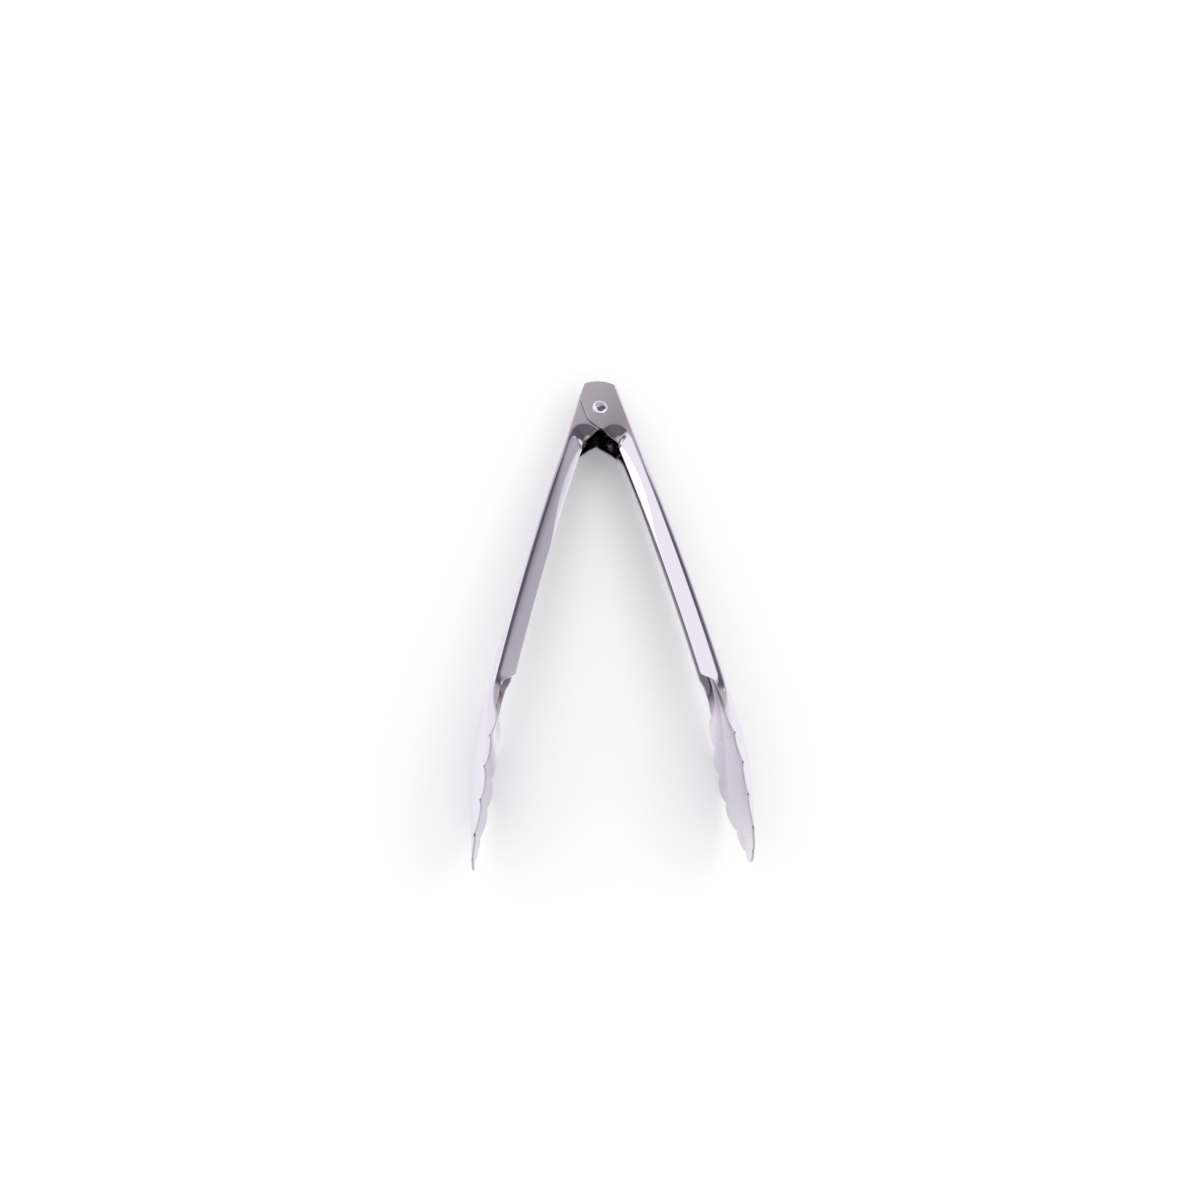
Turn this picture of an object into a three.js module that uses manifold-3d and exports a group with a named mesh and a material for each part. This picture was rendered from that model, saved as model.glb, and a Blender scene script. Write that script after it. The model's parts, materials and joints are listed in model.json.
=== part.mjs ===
// Spring loaded kitchen tongs: two pressed sheet steel arms, the rivet they turn on and the torsion
// spring that pushes them open. Millimetres, +Z up: the tongs lie on their side, open, with the hinge
// towards +Y and the claws towards -Y, and their rivet stands almost upright.
import * as THREE from "three";
import Module from "manifold-3d";
import { mergeVertices } from "three/addons/utils/BufferGeometryUtils.js";

const wasm = await Module();
wasm.setup();

const degrees = Math.PI / 180;

// The whole tool
const sheet = 0.9; // thickness of the steel
const halfOpen = 15.7 * degrees; // angle of each handle from the centre line, at rest
const gap = 0.3; // running clearance between pieces

// Each arm has its own flat frame: s runs from the pivot along the handle, n points away from the
// other arm, and z is the height above the arm's middle plane.
const reach = 227.3; // pivot to the tip of the claw
const backAtHinge = 13.5; // outside of the web from the pivot
const backAtGrip = 14.05;
const gripBow = 3.3e-4; // how fast the back curves inwards beyond gripBowStart
const gripBowStart = 60;
const clawHook = { slope: 0.26, start: 190, softness: 8 }; // the back turns inwards along the claw
const webHalf = 6.2; // flat half of the web, up to its bend
const earBend = 2.2; // bend radii, at the middle of the sheet
const gripBend = 2.8;
const clawBend = 24;
const clawWebHalf = 2;

// Ears, and the way that they run into the handle
const ear = {
  halfWidth: 8.9, // outside of the outer arm's ears
  top: 17, // radius of the rounded end about the pivot
  chamferTop: -16.4,
  chamferEnd: -10,
  cornerDepth: -3.2,
  innerEdge: -8.3,
  slopeStart: 5.3, // the free edge climbs from here towards the handle
  slope: 0.7,
  roundEnd: 6, // the rounding of the end dies out here
};
const innerEar = { ...ear, halfWidth: ear.halfWidth - sheet - gap, top: 13.9, chamferTop: -13.7,
  chamferEnd: -8.5, cornerDepth: -1.6, innerEdge: -7.7 };
// From the back of the web to the free edge of each lip
const lipDepth = { upper: 10.3, lower: 7.5 };
const dish = { start: 11, end: 156, corner: 6, inset: 0.3, slope: 0.42, curve: 0.016, softness: 0.35 };

// Waist and claw
const waist = { start: 148.5, end: 152.5, edge: 5 };
const claw = { start: 156, widest: 190, length: 37.5, halfSpan: 19.2, neckSpan: 13.75, power: 0.95 };
const lobes = { start: 165.2, pitch: 12.4, count: 5, height: 2.1 };
const endLobe = { centre: 222.7, radius: 4.6 };

// Rivet and spring
const rivet = { shank: 1.9, head: 3.9, rise: 1.5 };
const spring = { wire: 0.7, coil: 4.5, turns: 5, pitch: 1.9, legAlong: 22 };
const springWire = { sides: 8, stepsPerTurn: 16, legSteps: 6 };

const smooth = THREE.MathUtils.smoothstep;
const mix = THREE.MathUtils.lerp;

// A ramp that is 0 well before x = 0 and rises as x well after it
function softRamp(x, softness) {
  return (Math.hypot(x, softness) + x) / 2;
}

function softMax(a, b, softness) {
  return b + softRamp(a - b, softness);
}

function softMin(a, b, softness) {
  return a - softRamp(a - b, softness);
}

// Outside of the web, as n along the arm
function backOf(s) {
  const grip = mix(backAtHinge, backAtGrip, smooth(s, 10, gripBowStart));
  const bow = gripBow * Math.max(0, s - gripBowStart) ** 2;
  return grip - bow - clawHook.slope * softRamp(s - clawHook.start, clawHook.softness);
}

function bendOf(s) {
  const grip = mix(earBend, gripBend, smooth(s, 10, 40));
  return mix(grip, clawBend, smooth(s, waist.end, claw.widest + 6));
}

function webHalfOf(s, ears) {
  const grip = mix(ears.halfWidth - sheet / 2 - earBend, webHalf, smooth(s, 22, 55));
  return mix(grip, clawWebHalf, smooth(s, waist.end, claw.widest + 6));
}

// The free edge of ear, lip and waist, as n along the arm
function freeEdgeOf(s, ears, flank) {
  const chamfer = mix(ears.cornerDepth, ears.innerEdge, THREE.MathUtils.clamp(
    (s - ears.chamferTop) / (ears.chamferEnd - ears.chamferTop), 0, 1));
  const climb = ears.innerEdge + ears.slope * (s - ears.slopeStart);
  const lip = softMin(softMax(chamfer, climb, 1), backOf(s) - lipDepth[flank], 1);
  return mix(lip, waist.edge, smooth(s, waist.start, waist.end));
}

// Half of the claw's sheet, measured across it from the middle of the web to its scalloped edge
function clawSpanOf(s) {
  if (s > endLobe.centre) {
    return Math.sqrt(Math.max(0.6, endLobe.radius ** 2 - (s - endLobe.centre) ** 2));
  }
  const grow = mix(claw.neckSpan, claw.halfSpan, smooth(s, claw.start, claw.widest));
  const along = Math.max(0, (s - claw.widest) / claw.length);
  const place = (s - lobes.start) / lobes.pitch;
  const inLobe = place - Math.floor(place);
  const round = place < 0 ? 0 : lobes.height * Math.sqrt(1 - (2 * inLobe - 1) ** 2);
  return grow * (1 - along ** 2) ** claw.power + round;
}

// Half of the sheet at s, measured across it along web, bend and flank
function spanOf(s, ears, flank) {
  const bend = bendOf(s);
  const depth = Math.max(0, backOf(s) - sheet / 2 - bend - freeEdgeOf(s, ears, flank));
  const folded = webHalfOf(s, ears) + (Math.PI / 2) * bend + depth;
  return mix(folded, clawSpanOf(s), smooth(s, claw.start, claw.start + 8));
}

// How far the lip is pressed in: it grows with the distance inside its rounded fold line
function dishDepth(s, u) {
  const along = Math.min(s - dish.start, dish.end - s);
  const across = u - dish.inset;
  const r = dish.corner;
  const inside = along < r || across < r
    ? r - Math.hypot(Math.max(r - along, 0), Math.max(r - across, 0))
    : Math.min(along, across);
  const depth = softRamp(inside, dish.softness);
  return dish.slope * depth + dish.curve * depth ** 2;
}

// A point of the sheet's middle surface, v across the sheet, and the angle that the sheet has turned
function sheetPoint(s, v, ears) {
  const bend = bendOf(s);
  const flat = webHalfOf(s, ears);
  const back = backOf(s) - sheet / 2;
  const across = Math.abs(v);
  const turn = THREE.MathUtils.clamp((across - flat) / bend, 0, Math.PI / 2);
  const u = Math.max(0, across - flat - (Math.PI / 2) * bend);
  const z = Math.min(across, flat) + bend * Math.sin(turn) - dishDepth(s, u) * Number(u > 0);
  const n = back - bend * (1 - Math.cos(turn)) - u;
  return new THREE.Vector2(n, z * Math.sign(v));
}

const halfColumns = 9;

// Where the columns of points cross the sheet: on web, bend and lip along the handle, evenly on the claw
function columnAt(k, s, ears, flank) {
  const bend = bendOf(s);
  const flat = webHalfOf(s, ears);
  const span = spanOf(s, ears, flank);
  const bent = flat + (Math.PI / 2) * bend;
  const even = (span * k) / halfColumns;
  if (k <= 1) {
    return mix(flat * k, even, smooth(s, claw.start, claw.widest));
  }
  const lip = Math.max(0, span - bent);
  const folded = k <= 5 ? mix(flat, bent, (k - 1) / 4) : bent + lip * [0.12, 0.38, 0.68, 1][k - 6];
  const room = 0.12 * (halfColumns - k);
  return mix(Math.min(folded, span - room), even, smooth(s, waist.start, claw.start));
}

// The rounded end of the ears: rows near it are pulled onto a circle about the pivot
function alongAt(row, n, ears) {
  const end = -Math.sqrt(ears.top ** 2 - Math.min(n, backAtHinge) ** 2);
  return row + (end - ears.chamferTop) * (1 - smooth(row, ears.chamferTop, ears.roundEnd));
}

function between(start, end, count) {
  return Array.from({ length: count }, (_, i) => mix(start, end, i / count));
}

// Places of the rows along the arm, closer where the shape changes faster
function rowsOf(ears) {
  const rows = [
    ...between(ears.chamferTop, ears.chamferEnd, 3),
    ...between(ears.chamferEnd, ears.slopeStart - 2, 3),
    ...between(ears.slopeStart - 2, 34, 17),
    ...between(34, 144, 12),
    ...between(144, claw.start, 9),
    ...between(claw.start, lobes.start, 3),
  ];
  for (let lobe = 0; lobe < lobes.count - 1; lobe += 1) {
    for (const part of [0, 0.12, 0.35, 0.65, 0.88]) {
      rows.push(lobes.start + lobes.pitch * (lobe + part));
    }
  }
  const lastCusp = lobes.start + lobes.pitch * (lobes.count - 1);
  rows.push(...between(lastCusp, endLobe.centre, 5));
  rows.push(...[0, 0.35, 0.62, 0.82, 0.95, 1].map((t) => mix(endLobe.centre, reach, t)));
  return rows;
}

// The pressed arm as one closed body, in its own flat frame (x = n, y = -s)
function armGeometry(ears) {
  const rows = rowsOf(ears);
  const columns = Array.from({ length: 2 * halfColumns + 1 }, (_, i) => i - halfColumns);
  const loop = 2 * columns.length;
  const points = [];
  for (const row of rows) {
    const middle = columns.map((k) => (
      Math.sign(k) * columnAt(Math.abs(k), row, ears, k < 0 ? "lower" : "upper")
    ));
    const places = middle.map((v) => sheetPoint(row, v, ears));
    const sides = [1, -1].map((side) => places.map((p, i) => {
      const step = places[Math.min(i + 1, places.length - 1)].clone().sub(places[Math.max(i - 1, 0)]);
      const outward = new THREE.Vector2(step.y, -step.x).setLength((side * sheet) / 2);
      const moved = p.clone().add(outward);
      return new THREE.Vector3(moved.x, -alongAt(row, p.x, ears), moved.y);
    }));
    points.push(...sides[0], ...sides[1].reverse());
  }
  const faces = [];
  const quad = (a, b, c, d) => faces.push(a, b, c, a, c, d);
  for (let r = 0; r + 1 < rows.length; r += 1) {
    for (let i = 0; i < loop; i += 1) {
      const next = (i + 1) % loop;
      quad(r * loop + i, r * loop + next, (r + 1) * loop + next, (r + 1) * loop + i);
    }
  }
  const last = (rows.length - 1) * loop;
  for (let i = 0; i + 1 < columns.length; i += 1) {
    const mirrored = loop - 1 - i;
    quad(i, mirrored, mirrored - 1, i + 1);
    quad(last + i, last + i + 1, last + mirrored - 1, last + mirrored);
  }
  const geometry = new THREE.BufferGeometry().setFromPoints(points);
  geometry.setIndex(faces);
  return geometry;
}

function solidOf(geometry) {
  const bare = geometry.clone();
  bare.deleteAttribute("normal");
  bare.deleteAttribute("uv");
  const merged = mergeVertices(bare, 1e-4);
  return new wasm.Manifold(new wasm.Mesh({
    numProp: 3,
    vertProperties: merged.attributes.position.array,
    triVerts: new Uint32Array(merged.index.array),
  }));
}

function geometryOf(solid) {
  const mesh = solid.getMesh();
  const geometry = new THREE.BufferGeometry();
  geometry.setAttribute("position", new THREE.BufferAttribute(mesh.vertProperties, 3));
  geometry.setIndex(new THREE.BufferAttribute(mesh.triVerts, 1));
  geometry.computeVertexNormals();
  return geometry;
}

// The rivet hole goes through both ears
function drilled(geometry) {
  const drill = new THREE.CylinderGeometry(rivet.shank + gap, rivet.shank + gap, 40, 32);
  drill.rotateX(Math.PI / 2);
  return geometryOf(solidOf(geometry).subtract(solidOf(drill)));
}

function rivetGeometry() {
  const seat = ear.halfWidth + gap;
  const dome = (side) => Array.from({ length: 6 }, (_, i) => {
    const angle = (i / 5) * (Math.PI / 2);
    const radius = i === 5 ? 0 : rivet.head * Math.cos(angle);
    return new THREE.Vector2(radius, side * (seat + rivet.rise * Math.sin(angle)));
  });
  const profile = [
    ...dome(-1).reverse(),
    new THREE.Vector2(rivet.shank, -seat),
    new THREE.Vector2(rivet.shank, seat),
    ...dome(1),
  ];
  return new THREE.LatheGeometry(profile, 32).rotateX(Math.PI / 2);
}

// Where a leg of the spring ends: just inside a web, side 1 for the outer arm and -1 for the inner one
function legEnd(side) {
  const n = backOf(spring.legAlong) - sheet - gap - spring.wire;
  const along = spring.legAlong;
  const x = side * (along * Math.sin(halfOpen) + n * Math.cos(halfOpen));
  return new THREE.Vector2(x, n * Math.sin(halfOpen) - along * Math.cos(halfOpen));
}

// The centre line of the spring's wire: a leg, the coil round the rivet and the other leg
class SpringLine extends THREE.Curve {
  constructor() {
    super();
    this.end = legEnd(-1);
    const away = this.end.angle();
    const reachOfLeg = this.end.length();
    this.leaves = away - Math.acos(spring.coil / reachOfLeg);
    this.turned = 2 * this.leaves - Math.PI + 2 * Math.PI * spring.turns;
    this.legLength = Math.sqrt(reachOfLeg ** 2 - spring.coil ** 2);
    this.coilLength = spring.coil * this.turned;
    this.total = this.coilLength + 2 * this.legLength;
  }

  // The curve is the same seen from either end, so the first half is the second one turned over
  getPoint(t, target = new THREE.Vector3()) {
    const side = t < 0.5 ? -1 : 1;
    const fromMiddle = Math.abs(t - 0.5) * this.total;
    const onCoil = Math.min(fromMiddle, this.coilLength / 2);
    const angle = this.leaves - this.turned / 2 + onCoil / spring.coil;
    const beyond = fromMiddle - onCoil;
    const x = spring.coil * Math.cos(angle) - beyond * Math.sin(angle);
    const y = spring.coil * Math.sin(angle) + beyond * Math.cos(angle);
    const rise = (onCoil / this.coilLength) * (this.turned / (2 * Math.PI)) * spring.pitch;
    return target.set(side > 0 ? x : -x, y, side * rise);
  }

  // Evenly spaced already, so no table of lengths is needed
  getPointAt(t, target) {
    return this.getPoint(t, target);
  }
}

function springGeometry() {
  const line = new SpringLine();
  const steps = Math.round((line.turned / (2 * Math.PI)) * springWire.stepsPerTurn) + 2 * springWire.legSteps;
  const section = new THREE.Shape(Array.from({ length: springWire.sides }, (_, i) => {
    const angle = (2 * Math.PI * i) / springWire.sides;
    return new THREE.Vector2(spring.wire * Math.cos(angle), spring.wire * Math.sin(angle));
  }));
  return new THREE.ExtrudeGeometry(section, { steps, extrudePath: line, curveSegments: 1 });
}

function polishedSteel(colour, roughness) {
  return new THREE.MeshStandardMaterial({ color: colour, roughness, metalness: 1 });
}

function part(name, geometry, material, turn = 0) {
  const mesh = new THREE.Mesh(geometry, material);
  mesh.name = name;
  mesh.rotation.z = turn;
  return mesh;
}

// An arm's flat frame has n along +X for the outer arm; the inner arm is its mirror image
function mirroredInX(geometry) {
  const copy = geometry.clone().scale(-1, 1, 1);
  const index = copy.index.array;
  for (let i = 0; i < index.length; i += 3) {
    [index[i], index[i + 1]] = [index[i + 1], index[i]];
  }
  return copy;
}

const tongs = new THREE.Group();
const outerArm = drilled(armGeometry(ear));
const innerArm = drilled(mirroredInX(armGeometry(innerEar)));
tongs.add(part("outer_arm", outerArm, polishedSteel(0xd9d6dc, 0.12), halfOpen));
tongs.add(part("inner_arm", innerArm, polishedSteel(0xd9d6dc, 0.12), -halfOpen));
tongs.add(part("pivot_rivet", rivetGeometry(), polishedSteel(0xcfccd2, 0.15)));
tongs.add(part("torsion_spring", springGeometry(), polishedSteel(0xb9b7ba, 0.3)));

// The claws are wider than the hinge, so on a table the tongs lean until the rivet's head touches it too
const clawHalfWidth = 19.2;
const clawAlong = 195 * Math.cos(halfOpen);
const hingeHalfWidth = ear.halfWidth + gap + rivet.rise;
tongs.rotation.x = -Math.atan2(clawHalfWidth - hingeHalfWidth, clawAlong);

// The origin is under the middle of the tongs, on the table
const posed = new THREE.Group();
posed.add(tongs);
const box = new THREE.Box3().setFromObject(posed, true);
posed.position.set(-(box.min.x + box.max.x) / 2, -(box.min.y + box.max.y) / 2, -box.min.z);

export default posed;
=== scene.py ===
# %% [markdown]
# # Spring loaded kitchen tongs
# The tongs are four pieces of stainless steel: two pressed arms, a rivet and a spring. They lie open on
# one side on a pale table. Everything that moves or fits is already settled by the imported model, so this
# lesson only makes the pieces look real: a smooth pressed sheet, rounded cut edges, a headed rivet, a
# wound wire, and a mirror polish with the small marks that kitchen steel always has.

# %% Load the frame
import json
import math

import bpy
import numpy as np
from mathutils import Matrix, Vector


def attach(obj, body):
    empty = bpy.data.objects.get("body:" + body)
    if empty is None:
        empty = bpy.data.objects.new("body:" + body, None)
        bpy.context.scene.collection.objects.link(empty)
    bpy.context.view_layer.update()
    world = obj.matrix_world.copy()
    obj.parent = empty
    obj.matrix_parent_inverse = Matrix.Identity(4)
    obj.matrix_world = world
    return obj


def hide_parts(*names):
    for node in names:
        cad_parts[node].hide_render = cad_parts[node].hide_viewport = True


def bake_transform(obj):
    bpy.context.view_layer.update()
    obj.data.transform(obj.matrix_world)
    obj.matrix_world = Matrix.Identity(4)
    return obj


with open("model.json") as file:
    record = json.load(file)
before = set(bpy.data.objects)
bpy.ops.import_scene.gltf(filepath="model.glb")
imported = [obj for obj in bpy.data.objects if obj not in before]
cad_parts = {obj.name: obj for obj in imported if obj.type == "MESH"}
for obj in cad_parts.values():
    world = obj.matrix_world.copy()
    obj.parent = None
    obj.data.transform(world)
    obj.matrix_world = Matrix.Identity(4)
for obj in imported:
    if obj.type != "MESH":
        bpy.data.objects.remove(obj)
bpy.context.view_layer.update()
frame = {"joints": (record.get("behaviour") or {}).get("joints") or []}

# %% [markdown]
# ## The frame that the pieces share
# The jaw joint gives the rivet's place and direction. All sizes are in metres, and `mm` keeps them
# readable. The tongs lean a little, because the claws are wider than the hinge and both touch the table,
# so pieces are made in the flat frame of the tongs and then turned into place by one matrix.

# %% Place of the tongs
mm = 0.001
jaw = frame["joints"][0]
pivot = Vector(jaw["pos_m"])
pivot_axis = Vector(jaw["axis"]).normalized()
lean = Vector((0, 0, 1)).rotation_difference(pivot_axis)
tongs_place = Matrix.Translation(pivot) @ lean.to_matrix().to_4x4()
half_open = math.radians(15.7)
OUTER, INNER = 1, -1


def arm_place(side):
    """Turns an arm's flat frame (x away from the other arm, y back towards the hinge) into place."""
    return tongs_place @ Matrix.Rotation(side * half_open, 4, "Z") @ Matrix.Diagonal((side, 1, 1, 1))


print("rivet at", [round(c, 4) for c in pivot], "leaning", round(math.degrees(lean.angle), 2))

# %% [markdown]
# ## Camera, table and light
# The camera comes first, because a polished surface is nothing but its surroundings. It looks down on the
# tongs from the side of the claws with a wide lens, so the claws look larger than the hinge.

# %% Camera
camera_data = bpy.data.cameras.new("studio_camera")
camera = bpy.data.objects.new("studio_camera", camera_data)
bpy.context.collection.objects.link(camera)
bpy.context.scene.camera = camera
camera_data.sensor_width = 36
camera_data.lens = 20.4
camera_data.clip_start = 0.01

stand = Vector((-32.133, -226.407, 293.103)) * mm
to_right = Vector((0.99563, -0.03056, 0.08823))
to_top = Vector((-0.00579, 0.92289, 0.38501))
aim = Matrix((to_right, to_top, to_right.cross(to_top))).transposed().to_4x4()
camera.matrix_world = tongs_place @ Matrix.Translation(stand) @ aim
bpy.context.scene.view_settings.view_transform = "Standard"
print("camera at", [round(c, 3) for c in camera.matrix_world.translation])

# %% [markdown]
# The table is one large pale sheet. It fills the view, and the steel mirrors it from below.

# %% Table
bpy.ops.object.select_all(action="DESELECT")
bpy.ops.mesh.primitive_plane_add(size=6)
table = bpy.context.object
table.name = "table"
table_white = bpy.data.materials.new("table_white")
table_white.use_nodes = True
table_shader = table_white.node_tree.nodes["Principled BSDF"]
table_shader.inputs["Base Color"].default_value = (0.95, 0.95, 0.95, 1)
table_shader.inputs["Roughness"].default_value = 0.6
table_shader.inputs["Specular IOR Level"].default_value = 0.2
table.data.materials.append(table_white)
print("table", tuple(table.dimensions))

# %% [markdown]
# The studio round the table is a pale tent with a few large soft panels. Diffuse light comes evenly from
# all of it, and only what the steel mirrors has the panels in it. They draw the dark and bright bands that
# show the shape of polished metal. A panel is a direction, a size and a colour.

# %% Tent and panels
world = bpy.data.worlds.new("tent")
bpy.context.scene.world = world
world.use_nodes = True
tent = world.node_tree
tent.nodes.clear()
toward = tent.nodes.new("ShaderNodeTexCoord").outputs["Generated"]


def link_panel(below, direction, inner, outer, colour):
    """Lays a round soft panel over the tent's colour so far. Angles are from its middle, in degrees."""
    dot = tent.nodes.new("ShaderNodeVectorMath")
    dot.operation = "DOT_PRODUCT"
    dot.inputs[1].default_value = Vector(direction).normalized()
    tent.links.new(toward, dot.inputs[0])
    fade = tent.nodes.new("ShaderNodeMapRange")
    fade.interpolation_type = "SMOOTHSTEP"
    fade.inputs["From Min"].default_value = math.cos(math.radians(outer))
    fade.inputs["From Max"].default_value = math.cos(math.radians(inner))
    tent.links.new(dot.outputs["Value"], fade.inputs["Value"])
    lay = tent.nodes.new("ShaderNodeMix")
    lay.data_type = "RGBA"
    lay.inputs["B"].default_value = (*colour, 1)
    tent.links.new(fade.outputs["Result"], lay.inputs["Factor"])
    if isinstance(below, tuple):
        lay.inputs["A"].default_value = (*below, 1)
    else:
        tent.links.new(below, lay.inputs["A"])
    return lay.outputs["Result"]


tent_cloth = (0.95, 0.93, 0.96)
panels = [
    # direction, inner and outer angle, colour
    ((0.97, 0.00, 0.20), 26, 42, (1.10, 1.10, 1.10)),  # pale cloth low on the right
    ((-0.86, 0.02, 0.51), 14, 28, (0.79, 0.745, 0.79)),  # a shaded fold low on the left
    ((-0.52, 0.30, 0.80), 14, 24, (1.00, 1.00, 1.02)),  # lavender cloth high on the left
    ((-0.77, 0.30, 0.56), 6, 12, (1.35, 1.35, 1.35)),  # the brightest cloth
    ((0.10, 0.75, 0.65), 18, 36, (0.54, 0.50, 0.51)),  # pink-grey wall beyond the hinge
    ((0.66, 0.42, 0.62), 12, 28, (0.50, 0.48, 0.52)),  # a grey wall to the right
    ((0.09, 0.40, 0.91), 3, 8, (0.24, 0.16, 0.14)),  # the warm edge of the opening
    ((0.34, 0.42, 0.84), 8, 24, (0.11, 0.10, 0.12)),  # its dark edge
    ((-0.12, 0.36, 0.92), 5, 12, (0.12, 0.10, 0.12)),  # and the same on the left
    ((0.09, 0.05, 0.99), 12, 30, (0.15, 0.13, 0.15)),  # the dark opening overhead
    ((0.28, 0.58, 0.77), 3, 6, (0.10, 0.09, 0.11)),  # a dark post beside the wall
    ((0.43, 0.66, 0.61), 1.8, 2.8, (2.0, 2.0, 2.0)),  # the bare lamp
]
mirrored = tent_cloth
for direction, inner, outer, colour in panels:
    mirrored = link_panel(mirrored, direction, inner, outer, colour)

light_path = tent.nodes.new("ShaderNodeLightPath")
even = tent.nodes.new("ShaderNodeBackground")
even.inputs["Color"].default_value = (1, 1, 1, 1)
even.inputs["Strength"].default_value = 1.06
seen_in_steel = tent.nodes.new("ShaderNodeBackground")
tent.links.new(mirrored, seen_in_steel.inputs["Color"])
choose = tent.nodes.new("ShaderNodeMixShader")
tent.links.new(light_path.outputs["Is Glossy Ray"], choose.inputs["Fac"])
tent.links.new(even.outputs["Background"], choose.inputs[1])
tent.links.new(seen_in_steel.outputs["Background"], choose.inputs[2])
tent_out = tent.nodes.new("ShaderNodeOutputWorld")
tent.links.new(choose.outputs["Shader"], tent_out.inputs["Surface"])
print("tent with", len(panels), "panels")

# %% [markdown]
# One round lamp on the right gives the soft shadows to the left of each arm. The steel doesn't mirror it,
# because a lamp this large would draw long white stripes in the creases: the small bare lamp among the
# panels stands in for it and puts the glint on the rivet.

# %% Lamp
lamp_data = bpy.data.lights.new("round_lamp", "AREA")
lamp_data.shape = "DISK"
lamp_data.size = 0.8
lamp_data.energy = 2.8
lamp = bpy.data.objects.new("round_lamp", lamp_data)
lamp.visible_glossy = False
bpy.context.collection.objects.link(lamp)
lamp_side = Vector((0.655, 0.22, 0.70)).normalized()
lamp_distance = 2.2
lamp.location = lamp_side * lamp_distance
lamp.rotation_euler = lamp_side.to_track_quat("Z", "Y").to_euler()
print("lamp at", [round(c, 2) for c in lamp.location])

# %% [markdown]
# ## The pressed arms
# Each arm is one blank of 0.9 mm sheet: flat ears at the hinge, a channel handle with its lips pressed
# inwards, a waist, and a shallow scoop with a scalloped edge. A mirror polish shows every uneven face, so
# cutting and extruding this shape by hand would leave ripples. It is made as the press makes it instead: a
# flat grid is the blank, its rows and columns are slid to where the sheet ends and bends, and one rule
# bends every point of it. The thickness, the rivet hole and the rounded edges come after.

# %% Sizes of an arm
sheet, clearance = 0.9 * mm, 0.3 * mm
reach = 227.3 * mm
back_at_hinge, back_at_grip = 13.5 * mm, 14.05 * mm
back_blend_start = 10 * mm
grip_bow, grip_bow_start = 0.33, 60 * mm
hook_slope, hook_start, hook_softness = 0.26, 190 * mm, 8 * mm
web_half, web_blend_start, web_blend_end = 6.2 * mm, 22 * mm, 55 * mm
ear_bend, grip_bend, claw_bend = 2.2 * mm, 2.8 * mm, 24 * mm
bend_blend_end = 40 * mm
claw_web_half = 2 * mm
outer_ear = dict(
    half_width=8.9, top=17, chamfer_top=-16.4, chamfer_end=-10, corner=-3.2, edge=-8.3, scoop=19.6,
)
inner_ear = dict(
    half_width=7.7, top=13.9, chamfer_top=-13.7, chamfer_end=-8.5, corner=-1.6, edge=-7.7, scoop=18.7,
)
ears_of = {
    OUTER: {name: size * mm for name, size in outer_ear.items()},
    INNER: {name: size * mm for name, size in inner_ear.items()},
}
ear_slope_start, ear_slope, ear_round_end = 5.3 * mm, 0.7, 6 * mm
edge_softness = 1 * mm
UPPER, LOWER = 1, -1
lip_depth = {UPPER: 10.3 * mm, LOWER: 7.5 * mm}
scoop_across, scoop_radius = 8.2 * mm, 7.3 * mm
scoop_drop, scoop_length, scoop_softness, scoop_floor = 3.0 * mm, 9 * mm, 0.5 * mm, 2 * mm
nose_start, nose_across, nose_round, nose_length = 19.4 * mm, 3.1 * mm, 0.18 / mm, 1.6 * mm
lip_end, lip_corner, lip_inset, lip_softness = 156 * mm, 6 * mm, 0.3 * mm, 0.4 * mm
lip_slope, lip_curve = 0.38, 0.009 / mm
facet_start, facet_end, facet_width, facet_slope = 21 * mm, 82 * mm, 3.3 * mm, 0.26
facet_skew, facet_fade, facet_softness = 0.75, 6 * mm, 0.12 * mm
waist_start, waist_end, waist_edge = 147 * mm, 152.5 * mm, 5 * mm
claw_start, claw_widest, claw_length = 156 * mm, 190 * mm, 37.5 * mm
claw_join, claw_opened = 8 * mm, claw_widest + 6 * mm
claw_half_span, claw_neck_span, claw_power = 19.2 * mm, 13.75 * mm, 0.95
lobe_start, lobe_pitch, lobe_count, lobe_height = 165.2 * mm, 12.4 * mm, 5, 2.1 * mm
end_lobe_centre, end_lobe_radius, tip_least = 222.7 * mm, 4.6 * mm, 0.5 * mm
rivet_hole = 2.2 * mm
print("blank is", round((reach - ears_of[OUTER]["chamfer_top"]) / mm, 1), "mm long")

# %% [markdown]
# The rule of the press, in small steps: soft ramps, the line of the back, the bend between web and flank,
# and the free edge. `s` runs from the rivet along the arm, and `n` away from the other arm.

# %% The press: lines along the arm
def step(x, start, end):
    t = np.clip((x - start) / (end - start), 0, 1)
    return t * t * (3 - 2 * t)


def mix(a, b, t):
    return a + (b - a) * t


def soft_ramp(x, softness):
    return (np.hypot(x, softness) + x) / 2


def back_of(s):
    grip = mix(back_at_hinge, back_at_grip, step(s, back_blend_start, grip_bow_start))
    bow = grip_bow * np.maximum(0, s - grip_bow_start) ** 2
    return grip - bow - hook_slope * soft_ramp(s - hook_start, hook_softness)


def bend_of(s):
    grip = mix(ear_bend, grip_bend, step(s, back_blend_start, bend_blend_end))
    return mix(grip, claw_bend, step(s, waist_end, claw_opened))


def web_half_of(s, ears):
    ear_web_half = ears["half_width"] - sheet / 2 - ear_bend
    grip = mix(ear_web_half, web_half, step(s, web_blend_start, web_blend_end))
    return mix(grip, claw_web_half, step(s, waist_end, claw_opened))


def free_edge_of(s, ears, flank):
    down = np.clip((s - ears["chamfer_top"]) / (ears["chamfer_end"] - ears["chamfer_top"]), 0, 1)
    chamfer = mix(ears["corner"], ears["edge"], down)
    climb = ears["edge"] + ear_slope * (s - ear_slope_start)
    slanted = climb + soft_ramp(chamfer - climb, edge_softness)
    lip = back_of(s) - lip_depth[flank]
    joined = slanted - soft_ramp(slanted - lip, edge_softness)
    return mix(joined, waist_edge, step(s, waist_start, waist_end))


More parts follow.
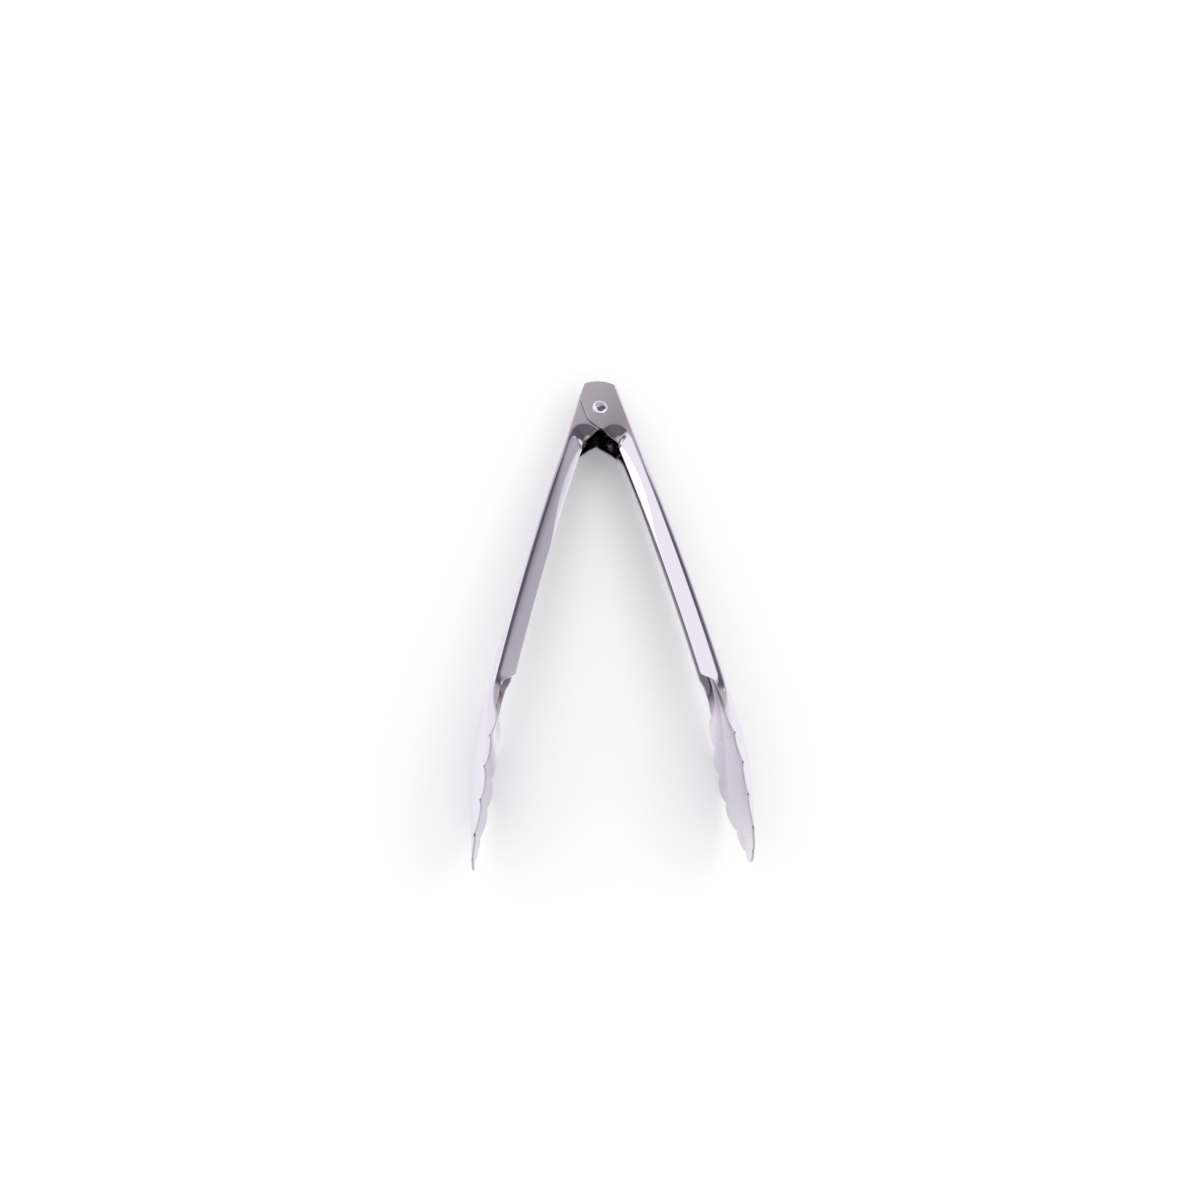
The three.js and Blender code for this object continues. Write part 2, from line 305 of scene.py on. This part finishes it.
print("back of the web at the grip, in mm:", round(float(back_of(60 * mm)) / mm, 2))


# %% [markdown]
# The claw's outline is a leaf with round lobes along it, and a last round lobe for the tip. It is measured
# across the sheet from the middle of the web, as on the flat blank.

# %% The press: the claw's outline
def claw_span_of(s):
    grow = mix(claw_neck_span, claw_half_span, step(s, claw_start, claw_widest))
    along = np.clip((s - claw_widest) / claw_length, 0, 1)
    place = (s - lobe_start) / lobe_pitch
    in_lobe = place - np.floor(place + 1e-9)
    lobe = lobe_height * np.sqrt(np.clip(1 - (2 * in_lobe - 1) ** 2, 0, 1)) * (place > 0)
    leaf = grow * (1 - along**2) ** claw_power + lobe
    tip = np.sqrt(np.maximum(tip_least**2, end_lobe_radius**2 - (s - end_lobe_centre) ** 2))
    return np.where(s > end_lobe_centre, tip, leaf)


def span_of(s, ears, flank):
    bend = bend_of(s)
    depth = np.maximum(0, back_of(s) - sheet / 2 - bend - free_edge_of(s, ears, flank))
    folded = web_half_of(s, ears) + math.pi / 2 * bend + depth
    return mix(folded, claw_span_of(s), step(s, claw_start, claw_start + claw_join))


widest_span = float(span_of(np.array(claw_widest), ears_of[OUTER], UPPER))
print("claw is", round(2 * widest_span / mm, 1), "mm across the sheet")


# %% [markdown]
# The lips are pressed in behind a fold line that runs along the handle and turns round at the waist. By
# the hinge they start in a half moon scoop with a round rim, and the lip comes out of the scoop with a
# rounded nose. Along the free edge the lip is pressed a little further, in a long spindle. `u` is how far
# a point lies from the bend towards the free edge.

# %% The press: the scoop, the lip and the spindle
def scoop_depth(s, u, ears):
    before_middle = np.minimum(s - ears["scoop"], 0)
    from_middle = np.sqrt(before_middle**2 + (u - scoop_across) ** 2 + scoop_floor**2)
    inside = soft_ramp(np.hypot(scoop_radius, scoop_floor) - from_middle, scoop_softness)
    return scoop_drop * (1 - np.exp(-inside / scoop_length))


def lip_depth_at(s, u):
    along, across = lip_end - s, u - lip_inset
    rounded = lip_corner - np.hypot(np.maximum(lip_corner - along, 0), np.maximum(lip_corner - across, 0))
    inside = np.where((along < lip_corner) | (across < lip_corner), rounded, np.minimum(along, across))
    inside = soft_ramp(inside, lip_softness)
    return lip_slope * inside + lip_curve * inside**2


def facet_depth(s, u, edge):
    place = np.clip((s - facet_start) / (facet_end - facet_start), 0, 1)
    width = facet_width * np.sin(math.pi * place**facet_skew)
    fade = step(s, facet_start, facet_start + facet_fade)
    return facet_slope * soft_ramp(u - (edge - width), facet_softness) * fade


deepest = float(scoop_depth(nose_start, scoop_across, ears_of[OUTER]))
print("scoop is", round(deepest / mm, 2), "mm deep where the lip begins")


# %% [markdown]
# The last rule puts the others together. A point of the blank goes along the flat web, round the bend and
# down the flank, and is then pressed in by as much as the scoop, the lip and the spindle say.

# %% The press: the bent sheet
def pressed(s, v, ears):
    """Where the point at s along and v across the blank ends up: n and z, on the sheet's middle surface."""
    bend, flat = bend_of(s), web_half_of(s, ears)
    across = np.abs(v)
    turn = np.clip((across - flat) / bend, 0, math.pi / 2)
    bent = flat + math.pi / 2 * bend
    u = np.maximum(0, across - bent)
    edge = np.where(v < 0, span_of(s, ears, LOWER), span_of(s, ears, UPPER)) - bent
    nose = nose_start + nose_round * (u - nose_across) ** 2
    pressed_in = mix(scoop_depth(s, u, ears), lip_depth_at(s, u), step(s, nose, nose + nose_length))
    pressed_in = pressed_in + facet_depth(s, u, edge)
    z = np.minimum(across, flat) + bend * np.sin(turn) - pressed_in * (u > 0)
    n = back_of(s) - sheet / 2 - bend * (1 - np.cos(turn)) - u
    return n, np.sign(v) * z


print("web at the hinge, in mm:", round(float(pressed(0.0, np.array(0.0), ears_of[OUTER])[0]) / mm, 2))


# %% [markdown]
# The rows and columns of the blank are closer together where the sheet changes most. Every cusp between two
# lobes gets a row of its own with two more close beside it, so the scallops stay crisp. A stop is a place
# along the arm and the gap between the rows from there on.

# %% Rows and columns of the blank
beside_cusp = (0.05 * mm, 0.2 * mm)
last_rows = 2 * mm
even_from, even_by = waist_start - 4 * mm, claw_widest - 14 * mm


def spaced(stops):
    """Evenly spaced places between (place, gap) stops, each gap holding from its place to the next one."""
    places = []
    for (start, gap), (end, _) in zip(stops, stops[1:]):
        count = max(1, round((end - start) / gap))
        places += [start + (end - start) * i / count for i in range(count)]
    return places + [stops[-1][0]]


def blank_rows(ears):
    cusps = [lobe_start + lobe_pitch * i for i in range(lobe_count)]
    stops = [(ears["chamfer_top"], 0.7 * mm), (ears["chamfer_end"], 0.8 * mm), (9 * mm, 0.5 * mm)]
    stops += [(36 * mm, 1.6 * mm), (142 * mm, 0.55 * mm)]
    stops += [(cusp, 0.56 * mm) for cusp in cusps]
    stops += [(end_lobe_centre, 0.5 * mm), (reach, 0)]
    rows = spaced([stop if isinstance(stop, tuple) else (stop, 1) for stop in stops])
    bunched = []
    for cusp in cusps:
        bunched += [cusp + gap for gap in beside_cusp]
        bunched += [cusp - gap for gap in beside_cusp] if cusp > lobe_start else []
    tip = [reach - t * t * last_rows for t in (0.15, 0.3, 0.45, 0.6, 0.8)]
    return np.array(sorted(rows + bunched + tip))


column_parts = [(6, "web"), (12, "bend"), (8, "crease"), (16, "lip")]
crease_width, least_column = 1.6 * mm, 0.05 * mm
half_columns = sum(count for count, _ in column_parts)


def column_places(s, ears, flank):
    """For each row, how far across the blank its columns are, from the middle to the edge."""
    bend, flat, span = bend_of(s), web_half_of(s, ears), span_of(s, ears, flank)
    bent = flat + math.pi / 2 * bend
    counts = np.cumsum([0] + [count for count, _ in column_parts])
    k = np.arange(half_columns + 1)[None, :]
    s, bend, flat, span, bent = (a[:, None] for a in (s, bend, flat, span, bent))
    places = [np.zeros_like(flat), flat, bent, bent + crease_width, span]
    folded = span
    for i in range(len(column_parts), 0, -1):
        part = mix(places[i - 1], places[i], (k - counts[i - 1]) / (counts[i] - counts[i - 1]))
        folded = np.where(k <= counts[i], part, folded)
    room = least_column * (half_columns - k)
    folded = np.minimum(folded, span - room)
    even = span * k / half_columns
    return mix(folded, even, step(s, even_from, even_by))


print("columns across the blank:", 2 * half_columns + 1, "rows:", len(blank_rows(ears_of[OUTER])))


# %% [markdown]
# The grid is the blank. Its points are laid out in the same order as its rows and columns, so the press can
# move them all at once. The ends of the ears are drawn onto a circle about the rivet. The blank's own
# measures are kept as the UV map, in centimetres, so that the finish can follow the sheet round its bends.

# %% Press one arm
def apply_modifier(piece, kind, name, **settings):
    modifier = piece.modifiers.new(name, kind)
    for key, value in settings.items():
        setattr(modifier, key, value)
    bpy.context.view_layer.objects.active = piece
    bpy.ops.object.modifier_apply(modifier=name)


def in_edit_mode(piece, action):
    """Runs an edit mode operator on the whole of a piece."""
    bpy.ops.object.select_all(action="DESELECT")
    piece.select_set(True)
    bpy.context.view_layer.objects.active = piece
    bpy.ops.object.mode_set(mode="EDIT")
    bpy.ops.mesh.select_all(action="SELECT")
    action()
    bpy.ops.object.mode_set(mode="OBJECT")


centimetre = 10 * mm
blank_size = 40 * mm  # only until the press moves every point


def press_arm(name, side):
    ears = ears_of[side]
    rows = blank_rows(ears)
    below, above = column_places(rows, ears, LOWER), column_places(rows, ears, UPPER)
    across = np.concatenate([-below[:, :0:-1], above], axis=1)
    bpy.ops.object.select_all(action="DESELECT")
    bpy.ops.mesh.primitive_grid_add(
        x_subdivisions=across.shape[1] - 1, y_subdivisions=len(rows) - 1, size=blank_size
    )
    arm = bpy.context.object
    arm.name = name
    s = np.repeat(rows[:, None], across.shape[1], axis=1)
    n, z = pressed(s, across, ears)
    end = -np.sqrt(ears["top"] ** 2 - np.minimum(n, back_at_hinge) ** 2)
    s = s + (end - ears["chamfer_top"]) * (1 - step(s, ears["chamfer_top"], ear_round_end))
    flat_places = np.stack([across, s], axis=-1).reshape(-1, 2) / centimetre
    points = np.stack([n, -s, z], axis=-1).reshape(-1, 3)
    arm.data.vertices.foreach_set("co", points.astype(np.float32).ravel())
    arm.data.update()
    corners = np.zeros(len(arm.data.loops), dtype=np.int32)
    arm.data.loops.foreach_get("vertex_index", corners)
    arm.data.uv_layers[0].uv.foreach_set("vector", flat_places[corners].astype(np.float32).ravel())
    web_face = min(arm.data.polygons, key=lambda face: abs(face.center.z) + abs(face.center.y))
    if web_face.normal.x < 0:
        in_edit_mode(arm, bpy.ops.mesh.flip_normals)
    return arm


arms = {OUTER: press_arm("pressed_outer_arm", OUTER), INNER: press_arm("pressed_inner_arm", INNER)}
for side, arm in arms.items():
    print(arm.name, len(arm.data.polygons), "faces in the blank")

# %% [markdown]
# Solidify gives the sheet its thickness evenly to both sides. It also gives the inside and the cut edges
# their own material slots, because the outside is polished, the inside is only pickled, and the edges are
# sheared, and because the inside and the edges carry painted shade. The hole for the rivet is cut through
# both ears, and a small bevel rounds the cut edges, which is what makes them glint.

# %% Thickness, rivet hole and rounded edges
drill_length = 30 * mm


def drill_through(arm):
    bpy.ops.object.select_all(action="DESELECT")
    bpy.ops.mesh.primitive_cylinder_add(vertices=48, radius=rivet_hole, depth=drill_length)
    drill = bpy.context.object
    apply_modifier(arm, "BOOLEAN", "rivet_hole", object=drill, operation="DIFFERENCE", solver="EXACT")
    bpy.data.objects.remove(drill)


def finish_piece(piece, place, angle=40):
    """Puts a piece in its place in the frame, with its object left at the origin."""
    piece.data.transform(place)
    in_edit_mode(piece, lambda: bpy.ops.mesh.normals_make_consistent(inside=False))
    bpy.ops.object.shade_smooth_by_angle(angle=math.radians(angle))
    print(piece.name, len(piece.data.polygons), "faces")


edge_round = 0.24 * mm
for side, arm in arms.items():
    for _ in ("outside", "inside", "edges"):
        arm.data.materials.append(None)
    apply_modifier(
        arm, "SOLIDIFY", "thickness", thickness=sheet, offset=0, use_even_offset=True,
        material_offset=1, material_offset_rim=2,
    )
    drill_through(arm)
    apply_modifier(
        arm, "BEVEL", "rounded_edges", width=edge_round, segments=3, limit_method="ANGLE",
        angle_limit=math.radians(50), use_clamp_overlap=True,
    )
    finish_piece(arm, arm_place(side))

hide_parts("outer_arm")
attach(arms[OUTER], "outer_arm_body")
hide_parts("inner_arm")
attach(arms[INNER], "inner_arm_body")

# %% [markdown]
# ## The rivet
# A plain shank runs through all four ears, and each end is peened into a dome. It starts as a cylinder as
# long as the hinge is wide. Each end face is then drawn out to the width of the head and raised ring by
# ring into the dome, with the same few moves that a lathe hand would make.

# %% Rivet
shank_radius, head_radius, head_rise = 1.9 * mm, 3.9 * mm, 1.5 * mm
rim_height, rim_round = 0.12 * mm, 0.15 * mm
head_seat = ears_of[OUTER]["half_width"] + clearance
dome_angles = [math.radians(a) for a in (12, 24, 36, 48, 60, 72, 83)]


def resize_face(factor):
    bpy.ops.transform.resize(value=(factor, factor, 1))


def raise_face(height):
    bpy.ops.mesh.extrude_region_move(TRANSFORM_OT_translate={"value": (0, 0, height)})


def peen_head(rivet, up):
    """Makes the dome on the end that faces up (1) or down (-1)."""
    bpy.ops.object.select_all(action="DESELECT")
    bpy.context.view_layer.objects.active = rivet
    rivet.select_set(True)
    for part in (rivet.data.vertices, rivet.data.edges, rivet.data.polygons):
        part.foreach_set("select", [False] * len(part))
    max(rivet.data.polygons, key=lambda face: face.center.z * up).select = True
    bpy.ops.object.mode_set(mode="EDIT")
    bpy.ops.mesh.select_mode(type="FACE")
    bpy.ops.mesh.extrude_region_move()
    resize_face((head_radius - rim_round) / shank_radius)
    raise_face(rim_height * up)
    resize_face(head_radius / (head_radius - rim_round))
    radius, height = head_radius, rim_height
    for angle in dome_angles:
        ring = head_radius * math.cos(angle)
        rise = mix(rim_height, head_rise, math.sin(angle))
        raise_face((rise - height) * up)
        resize_face(ring / radius)
        radius, height = ring, rise
    bpy.ops.mesh.poke(offset=head_rise - height)
    bpy.ops.object.mode_set(mode="OBJECT")


bpy.ops.object.select_all(action="DESELECT")
bpy.ops.mesh.primitive_cylinder_add(vertices=48, radius=shank_radius, depth=2 * head_seat)
rivet = bpy.context.object
rivet.name = "peened_rivet"
for up in (1, -1):
    peen_head(rivet, up)
finish_piece(rivet, tongs_place)
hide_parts("pivot_rivet")
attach(rivet, "outer_arm_body")
print("rivet is", round(2 * (head_seat + head_rise) / mm, 1), "mm long over its heads")

# %% [markdown]
# ## The spring
# A torsion spring sits round the rivet inside the hinge. Its two straight legs press on the inside of the
# two webs and push the arms open. The coil is a ring of wire carried round the rivet by a Screw modifier,
# and each leg is the coil's end ring drawn out along the tangent. The angles come from where the legs must
# end, so that they leave the coil without a kink.

# %% Spring sizes
wire_radius, coil_radius, coil_turns, coil_pitch = 0.7 * mm, 4.5 * mm, 5, 1.9 * mm
leg_along, leg_steps = 22 * mm, 6
leg_out = float(back_of(leg_along)) - sheet - clearance - wire_radius
leg_end = Vector((
    -(leg_along * math.sin(half_open) + leg_out * math.cos(half_open)),
    leg_out * math.sin(half_open) - leg_along * math.cos(half_open),
    0,
))
away = math.atan2(leg_end.y, leg_end.x) % (2 * math.pi)
leaves = away - math.acos(coil_radius / leg_end.length)
wound = 2 * leaves - math.pi + 2 * math.pi * coil_turns
coil_height = wound / (2 * math.pi) * coil_pitch
print("spring has", round(wound / (2 * math.pi), 2), "turns,", round(coil_height / mm, 1), "mm high")

# %% [markdown]
# A ring of wire stands where the coil begins. The Screw modifier carries it round and up, and each open end
# is then extruded along its leg and closed. The lower leg lies along the outer arm and the upper one along
# the inner arm.

# %% Wind the coil and draw out its legs
def draw_out_leg(spring, start, end):
    """Carries the open end ring at start along to end, and closes it there."""
    bpy.ops.object.select_all(action="DESELECT")
    bpy.context.view_layer.objects.active = spring
    spring.select_set(True)
    bpy.ops.object.mode_set(mode="EDIT")
    bpy.ops.mesh.select_mode(type="EDGE")
    bpy.ops.mesh.select_all(action="DESELECT")
    bpy.ops.object.mode_set(mode="OBJECT")
    corners = spring.data.vertices
    for edge in spring.data.edges:
        ends = [corners[i].co for i in edge.vertices]
        edge.select = all((co - start).length < 1.05 * wire_radius for co in ends)
        in_ring = all(abs((co - start).dot((end - start).normalized())) < 0.02 * wire_radius for co in ends)
        edge.select = edge.select and in_ring
    bpy.ops.object.mode_set(mode="EDIT")
    for _ in range(leg_steps):
        bpy.ops.mesh.extrude_region_move(TRANSFORM_OT_translate={"value": (end - start) / leg_steps})
    bpy.ops.mesh.edge_face_add()
    bpy.ops.object.mode_set(mode="OBJECT")


bpy.ops.object.select_all(action="DESELECT")
bpy.ops.mesh.primitive_circle_add(
    vertices=16, radius=wire_radius, location=(coil_radius, 0, -coil_height / 2),
    rotation=(math.pi / 2, 0, 0),
)
spring = bpy.context.object
spring.name = "torsion_spring_wire"
bpy.ops.object.transform_apply()
spring.data.transform(Matrix.Rotation(math.pi - leaves, 4, "Z"))
apply_modifier(
    spring, "SCREW", "coil", angle=wound, screw_offset=coil_height, steps=36 * coil_turns,
    render_steps=36 * coil_turns, use_merge_vertices=False,
)
coil_end = coil_radius * Vector((math.cos(leaves), math.sin(leaves), 0))
up = Vector((0, 0, coil_height / 2))
mirrored_x = Matrix.Diagonal((-1, 1, 1))
draw_out_leg(spring, coil_end + up, leg_end + up)
draw_out_leg(spring, mirrored_x @ coil_end - up, mirrored_x @ leg_end - up)
finish_piece(spring, tongs_place, angle=50)
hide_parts("torsion_spring")
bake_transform(spring)

# %% [markdown]
# ## Shared marks in steel
# A mirror polish is never perfect. Three small node groups make the marks that all the steel shares, so
# that each finish below only has to say how strong they are: fine lines from polishing along the arm,
# hairline scratches from use, and the soft film that fingers and washing leave.

# %% Node helpers
def new_group(name, inputs, outputs):
    """A shader node group with numbered sockets, and the nodes that stand for its two ends."""
    tree = bpy.data.node_groups.new(name, "ShaderNodeTree")
    for label, kind, value in inputs:
        socket = tree.interface.new_socket(label, in_out="INPUT", socket_type=kind)
        if value is not None:
            socket.default_value = value
    for label in outputs:
        tree.interface.new_socket(label, in_out="OUTPUT", socket_type="NodeSocketFloat")
    return tree, tree.nodes.new("NodeGroupInput"), tree.nodes.new("NodeGroupOutput")


def add(tree, kind, inputs=None, **settings):
    """A node with its settings made. An input is a value, or a socket to link from."""
    node = tree.nodes.new(kind)
    for name, value in settings.items():
        setattr(node, name, value)
    for name, value in (inputs or {}).items():
        if isinstance(value, bpy.types.NodeSocket):
            tree.links.new(value, node.inputs[name])
        else:
            node.inputs[name].default_value = value
    return node


def math_node(tree, operation, *values):
    node = add(tree, "ShaderNodeMath", operation=operation)
    for socket, value in zip(node.inputs, values):
        if isinstance(value, bpy.types.NodeSocket):
            tree.links.new(value, socket)
        else:
            socket.default_value = value
    return node.outputs[0]


def ramp(tree, value, low, high, to_low=0.0, to_high=1.0):
    node = add(tree, "ShaderNodeMapRange", {
        "Value": value, "From Min": low, "From Max": high, "To Min": to_low, "To Max": to_high,
    })
    return node.outputs["Result"]


print("helpers for node groups are ready")

# %% [markdown]
# A polishing belt leaves lines along the arm: fine ones, and broad ripples under them. Both are the same
# noise, drawn out along the sheet. The place comes in as the blank's own measures, so the lines follow the
# arm round every bend.

# %% Polishing lines
polishing_lines, start, end = new_group(
    "polishing_lines",
    [
        ("Place", "NodeSocketVector", None),
        ("Across", "NodeSocketFloat", 60),
        ("Along", "NodeSocketFloat", 1),
    ],
    ["Lines", "Broad"],
)
tree = polishing_lines
stretch = add(tree, "ShaderNodeCombineXYZ", {"X": start.outputs["Across"], "Y": start.outputs["Along"]})
stretched = add(tree, "ShaderNodeVectorMath", {
    0: start.outputs["Place"], 1: stretch.outputs[0],
}, operation="MULTIPLY")
fine = add(tree, "ShaderNodeTexNoise", {"Vector": stretched.outputs[0], "Scale": 1.0, "Detail": 3.0})
tree.links.new(fine.outputs["Fac"], end.inputs["Lines"])
wide = add(tree, "ShaderNodeVectorMath", {
    0: stretched.outputs[0], 1: (0.16, 0.4, 1),
}, operation="MULTIPLY")
broad = add(tree, "ShaderNodeTexNoise", {"Vector": wide.outputs[0], "Scale": 1.0, "Detail": 1.0})
tree.links.new(broad.outputs["Fac"], end.inputs["Broad"])
print("group", polishing_lines.name)

# %% [markdown]
# Hairlines come from use, in a few directions and only here and there. The level lines of a noise that is
# drawn out very long are nearly straight, and a second noise leaves most of them out.

# %% Hairline scratches
hairlines, start, end = new_group(
    "hairline_scratches",
    [
        ("Place", "NodeSocketVector", None),
        ("Spread", "NodeSocketFloat", 500),
        ("Width", "NodeSocketFloat", 0.012),
    ],
    ["Scratches"],
)
tree = hairlines
found = []
for turn, gate_scale in ((0.35, 60), (1.3, 80), (2.5, 110)):
    turned_place = add(tree, "ShaderNodeMapping", {
        "Vector": start.outputs["Place"], "Rotation": (0, 0, turn), "Scale": (1, 0.03, 0.2),
    })
    drawn_out = add(tree, "ShaderNodeTexNoise", {
        "Vector": turned_place.outputs[0], "Scale": start.outputs["Spread"], "Detail": 0.0,
    })
    from_level = math_node(tree, "ABSOLUTE", math_node(tree, "SUBTRACT", drawn_out.outputs["Fac"], 0.5))
    line = math_node(tree, "LESS_THAN", from_level, start.outputs["Width"])
    gate = add(tree, "ShaderNodeTexNoise", {"Vector": start.outputs["Place"], "Scale": gate_scale})
    found.append(math_node(tree, "MULTIPLY", line, ramp(tree, gate.outputs["Fac"], 0.58, 0.68)))
first_two = math_node(tree, "MAXIMUM", found[0], found[1])
tree.links.new(math_node(tree, "MAXIMUM", first_two, found[2]), end.inputs["Scratches"])
print("group", hairlines.name)

# %% [markdown]
# Fingers and washing leave a cloudy film with a few dried specks in it. It is hardly visible by itself, but
# it keeps the polish from looking like glass.

# %% Handling film
handling_film, start, end = new_group(
    "handling_film",
    [("Place", "NodeSocketVector", None), ("Size", "NodeSocketFloat", 70)],
    ["Film", "Specks"],
)
tree = handling_film
cloudy = add(tree, "ShaderNodeTexNoise", {
    "Vector": start.outputs["Place"], "Scale": start.outputs["Size"], "Detail": 4.0, "Distortion": 0.6,
})
tree.links.new(ramp(tree, cloudy.outputs["Fac"], 0.4, 0.72), end.inputs["Film"])
dust = add(tree, "ShaderNodeTexVoronoi", {
    "Vector": start.outputs["Place"], "Scale": 260.0, "Randomness": 1.0,
})
speck_size, specks_from, specks_fully = 0.07, 0.62, 0.63
near = math_node(tree, "LESS_THAN", dust.outputs["Distance"], speck_size)
rare = ramp(tree, cloudy.outputs["Fac"], specks_from, specks_fully)
tree.links.new(math_node(tree, "MULTIPLY", near, rare), end.inputs["Specks"])
print("group", handling_film.name)


# %% [markdown]
# ## The finishes
# All the pieces are the same bright steel, with a slightly lavender cast from its surroundings, but each
# surface is finished differently. The outside is polished along the arm. The claws are rubbed duller and
# smoother by food and washing. The inside of the hinge and of the handle is pickled, and is painted dark as
# shade, darkest inside the hinge. The sheared edges are coarser and painted darker, as painted shade. The
# spring wire is painted nearly black, as the shade inside the hinge. Places along the arm are in
# centimetres from the rivet.

# %% One steel, several finishes
marked_until, unmarked_from = 14.0, 15.5
dull_from, dull_fully = 15.4, 17.5
hinge_inside_ends, handle_inside_starts, handle_inside_ends, claw_inside_starts = 2.6, 5.0, 15.7, 16.6
film_roughness, hairline_roughness, hairline_whiteness, speck_darkness = 0.05, 0.1, 0.2, 0.6
ripple_height, line_height, line_strength = 0.01 * mm, 0.02 * mm, 0.12
streak_darkness, streak_share = 0.82, 0.3
scratch_white, speck_brown = (0.9, 0.9, 0.92, 1), (0.16, 0.12, 0.11, 1)
# Dark skin colour, used as painted shade inside the hinge and the handle.
pickled_skin = (0.20, 0.175, 0.19, 1)


def steel_finish(name, tint, rough, lines=0.5, dull_claws=0.0, dark_channel=0.0, use_blank=True):
    """Polished steel with the shared marks. tint and rough are what it has with no marks at all."""
    steel = bpy.data.materials.new(name)
    steel.use_nodes = True
    tree = steel.node_tree
    shader = tree.nodes["Principled BSDF"]
    shader.inputs["Metallic"].default_value = 1.0
    place = add(tree, "ShaderNodeTexCoord")
    here = place.outputs["Object"]
    blank = place.outputs["UV"] if use_blank else here
    polish = add(tree, "ShaderNodeGroup", {"Place": blank}, node_tree=polishing_lines)
    scratch = add(tree, "ShaderNodeGroup", {"Place": here}, node_tree=hairlines)
    film = add(tree, "ShaderNodeGroup", {"Place": here}, node_tree=handling_film)

    along = add(tree, "ShaderNodeSeparateXYZ", {"Vector": blank}).outputs["Y"]
    claw = ramp(tree, along, dull_from, dull_fully, 0.0, dull_claws)
    handle = ramp(tree, along, marked_until, unmarked_from, 1.0, 0.0)
    hairline = math_node(tree, "MULTIPLY", scratch.outputs["Scratches"], handle)
    roughness = math_node(tree, "ADD", rough, claw)
    roughness = math_node(tree, "MULTIPLY_ADD", film.outputs["Film"], film_roughness, roughness)
    roughness = math_node(tree, "MULTIPLY_ADD", hairline, hairline_roughness, roughness)
    tree.links.new(roughness, shader.inputs["Roughness"])

    darker = [streak_darkness * c for c in tint]
    clean = add(tree, "ShaderNodeMix", {
        "A": (*tint, 1), "B": (*darker, 1),
        "Factor": math_node(tree, "MULTIPLY", polish.outputs["Broad"], streak_share * lines),
    }, data_type="RGBA")
    marked = add(tree, "ShaderNodeMix", {
        "A": clean.outputs["Result"], "B": scratch_white,
        "Factor": math_node(tree, "MULTIPLY", hairline, hairline_whiteness),
    }, data_type="RGBA")
    specked = add(tree, "ShaderNodeMix", {
        "A": marked.outputs["Result"], "B": speck_brown,
        "Factor": math_node(tree, "MULTIPLY", film.outputs["Specks"], speck_darkness),
    }, data_type="RGBA")
    # Painted shade: inside the hinge the colour goes fully to the dark skin colour, along the handle
    # halfway, and on the claws not at all.
    channel = ramp(tree, along, hinge_inside_ends, handle_inside_starts, dark_channel, 0.5 * dark_channel)
    before_claw = ramp(tree, along, handle_inside_ends, claw_inside_starts, 1.0, 0.0)
    channel = math_node(tree, "MULTIPLY", channel, before_claw)
    skin = add(tree, "ShaderNodeMix", {
        "A": specked.outputs["Result"], "B": pickled_skin, "Factor": channel,
    }, data_type="RGBA")
    tree.links.new(skin.outputs["Result"], shader.inputs["Base Color"])

    ripple = add(tree, "ShaderNodeBump", {
        "Height": polish.outputs["Broad"], "Strength": math_node(tree, "MULTIPLY", handle, lines),
        "Distance": ripple_height,
    })
    bump = add(tree, "ShaderNodeBump", {
        "Height": polish.outputs["Lines"],
        "Strength": math_node(tree, "MULTIPLY", handle, line_strength * lines),
        "Distance": line_height, "Normal": ripple.outputs["Normal"],
    })
    tree.links.new(bump.outputs["Normal"], shader.inputs["Normal"])
    return steel


steel_tint = (0.84, 0.80, 0.885)
polished = steel_finish("polished_sheet_steel", steel_tint, 0.045, dull_claws=0.16)
# Pickled inside, with the full painted shade inside the hinge and the handle.
pickled = steel_finish("pickled_and_shaded_inside_steel", (0.80, 0.765, 0.84), 0.12, dull_claws=0.14, dark_channel=1.0)
# Cut edges: coarser, and painted darker than the sheet as painted shade, with more painted shade near the
# hinge.
sheared = steel_finish("sheared_and_shaded_edge_steel", (0.54, 0.51, 0.57), 0.3, dark_channel=0.6)
peened = steel_finish("peened_rivet_steel", (0.86, 0.84, 0.88), 0.05, use_blank=False)
# The spring wire is painted nearly black, as painted shade inside the hinge.
drawn = steel_finish("drawn_spring_wire_shaded_steel", (0.10, 0.095, 0.11), 0.34, use_blank=False)
for arm in arms.values():
    for slot, finish in enumerate((polished, pickled, sheared)):
        arm.data.materials[slot] = finish
for piece, finish in ((rivet, peened), (spring, drawn)):
    piece.data.materials.append(finish)
print("finishes", [m.name for m in bpy.data.materials if m.name.endswith("_steel")])
